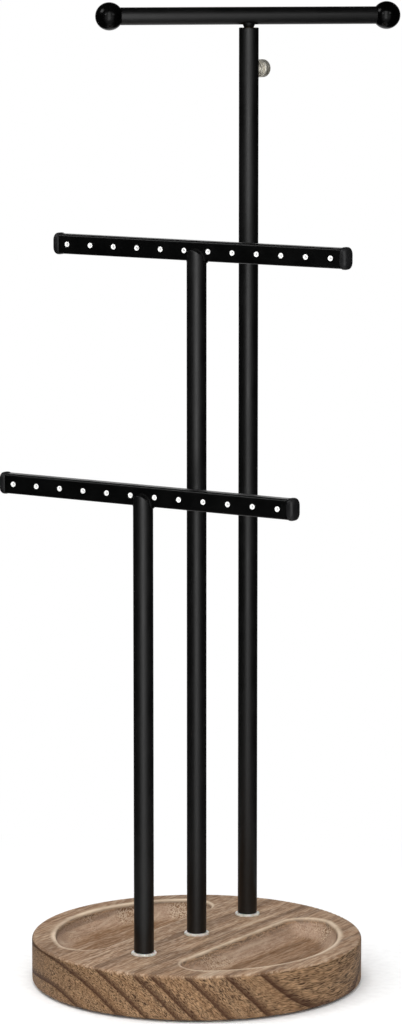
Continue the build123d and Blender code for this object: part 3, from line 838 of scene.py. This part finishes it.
def make_screw_shank(metal):
    """The threaded shank."""
    low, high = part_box("thumb_screw_shank")
    pitch, depth, radius = 0.7 * MM, 0.38 * MM, SCREW_RADIUS
    rings_per_pitch, round_steps = 14, 48
    bm = bmesh.new()

    def thread(distance, angle):
        phase = (distance / pitch + angle / (2 * pi)) % 1.0
        tooth = min(1.0, max(0.0, 1.3 - 3.0 * abs(phase - 0.5)))
        end = min(1.0, (distance - low.y) / (0.5 * MM) + 0.3)
        return (radius - depth + depth * tooth) * (0.82 + 0.18 * end)

    distances = span(low.y, high.y, int((high.y - low.y) / pitch * rings_per_pitch))
    rings = turned_relief(bm, thread, distances, SCREW_AXES, round_steps)
    bm.faces.new(rings[0])
    bm.faces.new(rings[-1])
    finish_mesh("thumb_screw_thread", bm, metal, "thumb_screw",
                ["thumb_screw_shank"], sharp=60)


def make_screw_head(metal):
    """The knurled head pressed on the shank, with a plain shoulder towards the post."""
    near = POST_Y["tall"] + KNOB_NEAR
    far = POST_Y["tall"] + KNOB_FAR
    shoulder, shoulder_radius = 1.5 * MM, 2.9 * MM
    teeth, groove, chamfer = 36, 0.22 * MM, 0.5 * MM
    rim, bore = KNOB_RADIUS, SCREW_RADIUS + HAIR
    dish = 0.12 * MM
    round_steps = teeth * 8
    bm = bmesh.new()

    def knurl(distance, angle):
        edge = min(distance - near, far - distance)
        cut = max(0.0, chamfer - edge)
        wave = abs(sin(angle * teeth / 2))
        return min(rim - cut, rim - groove * (1 - wave) ** 1.5)

    distances = [near, near + 0.12 * MM, near + 0.25 * MM, near + chamfer]
    distances += span(near + chamfer, far - chamfer, 4)[1:]
    distances += [far - 0.25 * MM, far - 0.12 * MM, far]
    rings = turned_relief(bm, knurl, distances, SCREW_AXES, round_steps)

    def circle(radius, distance):
        return ring_about(bm, SCREW_AXES, distance, [radius] * round_steps)

    near_profile = (
        (rim - 0.9 * MM, near), (shoulder_radius + 0.1 * MM, near),
        (shoulder_radius, near - 0.1 * MM), (shoulder_radius, near - shoulder + 0.2 * MM),
        (shoulder_radius - 0.2 * MM, near - shoulder), (bore, near - shoulder))
    far_profile = (
        (rim - 1.0 * MM, far), (rim - 1.15 * MM, far - dish),
        (SCREW_RADIUS + 0.25 * MM, far - dish), (bore, far - 0.3 * MM))
    near_face = [circle(r, d) for r, d in near_profile]
    skin_rings(bm, [rings[0]] + near_face)
    far_face = [circle(r, d) for r, d in far_profile]
    skin_rings(bm, [rings[-1]] + far_face)
    skin_rings(bm, [near_face[-1], far_face[-1]])
    finish_mesh("thumb_screw_knurled_head", bm, metal, "thumb_screw",
                ["thumb_screw_head"], sharp=30)


# ---------------------------------------------------------------- stage, camera and lamps
VIEW_TURN = radians(33.11)
VIEW_DROP = radians(8.43)
CAMERA_DISTANCE = 1.7867
CAMERA_LENS = 140.0
TARGET_SIDE = 1.97 * MM
TARGET_HEIGHT = 215.3 * MM

# Name, place to the right, away from the camera and up, width and height, watts, the height
# that it is turned to, and whether shiny surfaces mirror it.
LAMPS = (
    ("front_softbox", 0.0, -0.80, 0.50, 1.10, 1.00, 2.5, 0.50, True),
    ("front_strip", -0.02, -0.78, 0.50, 0.30, 1.00, 2.5, 0.50, True),
    ("left_softbox", -0.75, -0.15, 1.00, 0.30, 0.30, 1.7, 0.28, True),
    ("small_left_lamp", -0.46, -0.78, 0.72, 0.11, 0.11, 0.4, 0.43, True),
    ("small_right_lamp", 0.52, -0.74, 0.72, 0.11, 0.11, 0.4, 0.43, True),
    ("overhead_softbox", -0.15, 0.05, 1.50, 0.80, 0.80, 9.0, 0.1, False),
)
FILL_LIGHT = 0.55  # even light from all round
DIM_ROOM = 0.008  # what shiny black paint shows away from the backdrop
MIRRORED_FRONT = 0.4  # how much of the bright paper in front shiny surfaces show
BACKDROP = (1, 12, 32)  # behind the object: full within 12 degrees, gone at 32
BRIGHT_FRONT = (-1, 20, 50)  # in front of it: the same for the part of the paper that stays pale
PAPER_NEAR = 0.09  # the paper is lit and shaded as far as this from the object's middle
PAPER_FAR = 0.30  # and from here on shows as even white
PAPER_PALE, PAPER_DARK = 0.11, 0.16  # where it turns dark for light that lands on the object
FLOOR_RINGS = (0.1, 0.25, 0.5, 1.0, 2.0, 5.0, 12.0, 40.0)
PURE_WHITE = (1.0, 1.0, 1.0, 1.0)


def view_axes():
    """The camera's level directions: to its right, and ahead."""
    right = Vector((cos(VIEW_TURN), sin(VIEW_TURN), 0))
    ahead = Vector((-sin(VIEW_TURN), cos(VIEW_TURN), 0))
    return right, ahead


def make_camera():
    """The camera at the photograph's angle."""
    right, ahead = view_axes()
    forward = ahead * cos(VIEW_DROP) - Vector(UP) * sin(VIEW_DROP)
    up = ahead * sin(VIEW_DROP) + Vector(UP) * cos(VIEW_DROP)
    data = bpy.data.cameras.new("view")
    data.sensor_fit = "VERTICAL"
    data.sensor_height = 36.0
    data.lens = CAMERA_LENS
    data.clip_start, data.clip_end = 0.05, 100.0
    camera = bpy.data.objects.new("view", data)
    place = right * TARGET_SIDE + Vector((0, 0, TARGET_HEIGHT)) - forward * CAMERA_DISTANCE
    turn = Matrix((right, up, -forward)).transposed().to_4x4()
    camera.matrix_world = Matrix.Translation(place) @ turn
    bpy.context.scene.collection.objects.link(camera)
    bpy.context.scene.camera = camera


def make_lamp(name, side, ahead_by, height, width, tall, watts, aim_height, mirrored):
    """An area lamp placed relative to the view and turned to the object."""
    right, ahead = view_axes()
    data = bpy.data.lights.new(name, "AREA")
    data.shape = "RECTANGLE"
    data.size, data.size_y, data.energy = width, tall, watts
    lamp = bpy.data.objects.new(name, data)
    place = right * side + ahead * ahead_by + Vector((0, 0, height))
    lamp.location = place
    lamp.rotation_euler = (Vector((0, 0, aim_height)) - place).to_track_quat("-Z", "Y").to_euler()
    bpy.context.scene.collection.objects.link(lamp)
    lamp.visible_glossy = mirrored


def toward(g, direction_or_place, way, narrow, wide):
    """1 within a narrow angle straight behind the object as the camera sees it (way 1) or
    straight in front of it (way -1), and 0 outside a wide one."""
    unit = g.vector_math("NORMALIZE", direction_or_place)[0]
    facing = g.vector_math("DOT_PRODUCT", unit, view_axes()[1] * way)[1]
    return g.remap(facing, cos(radians(wide)), cos(radians(narrow)), smooth=True)


def background_share(g):
    """How far a ray sees the white background: camera rays do everywhere, mirrored and
    refracted rays where it stands behind the object. Also, which rays are such ones."""
    behind = toward(g, g.place, *BACKDROP)
    rays = g.add("ShaderNodeLightPath").outputs
    mirrored = g.math("MAXIMUM", rays["Is Glossy Ray"], rays["Is Transmission Ray"])
    shown = g.math("MULTIPLY", mirrored, behind)
    return g.math("MAXIMUM", rays["Is Camera Ray"], shown), mirrored


def make_world():
    """Even fill light, which shows as a white background and as a dim room in shiny paint."""
    g = WorldGraph("studio")
    bpy.context.scene.world = g.world
    white, mirrored = background_share(g)
    room = g.remap(mirrored, 0.0, 1.0, FILL_LIGHT, DIM_ROOM)
    light = g.add("ShaderNodeBackground")
    light.inputs["Color"].default_value = PURE_WHITE
    g.feed(light.inputs["Strength"], g.remap(white, 0.0, 1.0, room, 1.0))
    g.tree.links.new(light.outputs[0], g.output.inputs["Surface"])


def floor_material():
    """Pale matt paper near the object; further out it shows as even white."""
    g = Graph("floor_paper")
    x, y, _ = g.split(g.place)
    from_middle = flat_length(g, x, y)
    tooth = g.noise(g.place, 260, detail=4)
    paper = g.blend(g.remap(tooth, 0.35, 0.65), srgb(248, 248, 248), srgb(254, 254, 254))
    rays = g.add("ShaderNodeLightPath").outputs
    unseen = g.math("SUBTRACT", 1.0, rays["Is Camera Ray"])
    outside = g.math("MULTIPLY", g.remap(from_middle, PAPER_PALE, PAPER_DARK), unseen)
    in_front = g.math("MULTIPLY", toward(g, g.place, *BRIGHT_FRONT),
                      g.remap(rays["Is Glossy Ray"], 0.0, 1.0, 1.0, MIRRORED_FRONT))
    aside = g.math("MULTIPLY", outside, g.math("SUBTRACT", 1.0, in_front))
    paper = g.blend(aside, paper, srgb(45, 45, 45))
    diffuse = g.add("ShaderNodeBsdfDiffuse")
    g.feed(diffuse.inputs["Color"], paper)
    g.feed(diffuse.inputs["Normal"], g.bump(tooth, 0.05 * MM, 0.3))
    glow = g.add("ShaderNodeEmission")
    glow.inputs["Color"].default_value = PURE_WHITE
    seen, _ = background_share(g)
    far = g.remap(from_middle, PAPER_NEAR, PAPER_FAR, smooth=True)
    mix = g.add("ShaderNodeMixShader")
    g.feed(mix.inputs[0], g.math("MULTIPLY", seen, far))
    g.tree.links.new(diffuse.outputs[0], mix.inputs[1])
    g.tree.links.new(glow.outputs[0], mix.inputs[2])
    g.tree.links.new(mix.outputs[0], g.output.inputs["Surface"])
    return g.material


def make_floor():
    """A wide flat floor of rings of quads."""
    bm = bmesh.new()
    profile = [(0.0, 0.0)] + [(radius, 0.0) for radius in FLOOR_RINGS]
    lathe(bm, profile, (0, 0, 0), UP)
    mesh = bpy.data.meshes.new("studio_floor")
    bm.to_mesh(mesh)
    bm.free()
    mesh.materials.append(floor_material())
    floor = bpy.data.objects.new("studio_floor", mesh)
    bpy.context.scene.collection.objects.link(floor)


# ---------------------------------------------------------------- the scene
def dress_cad_node(frame, name, material):
    """Give a carried-over CAD piece its material."""
    mesh = frame["nodes"][name].data
    mesh.materials.clear()
    mesh.materials.append(material)


def main():
    """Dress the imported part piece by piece, then set the stage."""
    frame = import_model()

    paint = black_paint("satin_black_paint", roughness=0.43, shine=0.5)
    bar_paint = black_paint("bar_black_paint", grain=0.45 * MM, roughness=0.34, shine=0.28)
    weld_paint = black_paint("weld_black_paint", grain=0.45 * MM, roughness=0.55, shine=0.12)
    top_paint = black_paint("top_bar_black_paint", roughness=0.44, shine=0.45)
    ball_paint = black_paint("ball_black_paint", roughness=0.2, shine=0.17)
    rod_paint = black_paint("rod_black_paint", grain=0.3 * MM, roughness=0.4)
    polymer, lining, plastic = foot_ring_polymer(), white_lining(), cap_plastic()
    screw_metal = turned_metal("nickel_plating", srgb(240, 236, 226), srgb(206, 201, 188),
                               SCREW_ORIGIN, ALONG_ROW, roughness=0.52)
    zinc = turned_metal("zinc_plating", srgb(190, 192, 196), srgb(150, 152, 158),
                        (0, 0, 0), UP, roughness=0.36)
    brass = turned_metal("bush_brass", srgb(196, 166, 104), srgb(160, 128, 74),
                         (0, POST_Y["tall"], 0), UP)

    for post in POST_Y:
        make_foot_ring(post, polymer)
        for part in ("bolt", "washer", "insert"):
            dress_cad_node(frame, f"{post}_post_{part}", zinc)
    for post, bar in BAR_OF_POST.items():
        make_tier_post(post, paint)
        make_weld(post, weld_paint)
        dress_cad_node(frame, f"{bar}_bar", bar_paint)
        make_eyelets(bar, POST_Y[post], lining)
        make_cap(bar, POST_Y[post], "left", -1, plastic)
        make_cap(bar, POST_Y[post], "right", 1, plastic)
    make_tall_post(paint)
    make_top_bar(top_paint)
    make_ball("left_ball", -1, ball_paint)
    make_ball("right_ball", 1, ball_paint)
    make_neck(top_paint)
    make_rod(rod_paint)
    make_screw_shank(screw_metal)
    make_screw_head(screw_metal)
    dress_cad_node(frame, "guide_bush", brass)
    dress_cad_node(frame, "stop_collar", brass)
    dress_cad_node(frame, "retaining_ring", zinc)
    dress_cad_node(frame, "wooden_base", carved_wood())
    dress_cad_node(frame, "foot_pad", foam_pad())

    make_floor()
    make_world()
    make_camera()
    for lamp in LAMPS:
        make_lamp(*lamp)
    bpy.context.scene.view_settings.view_transform = "Standard"


main()
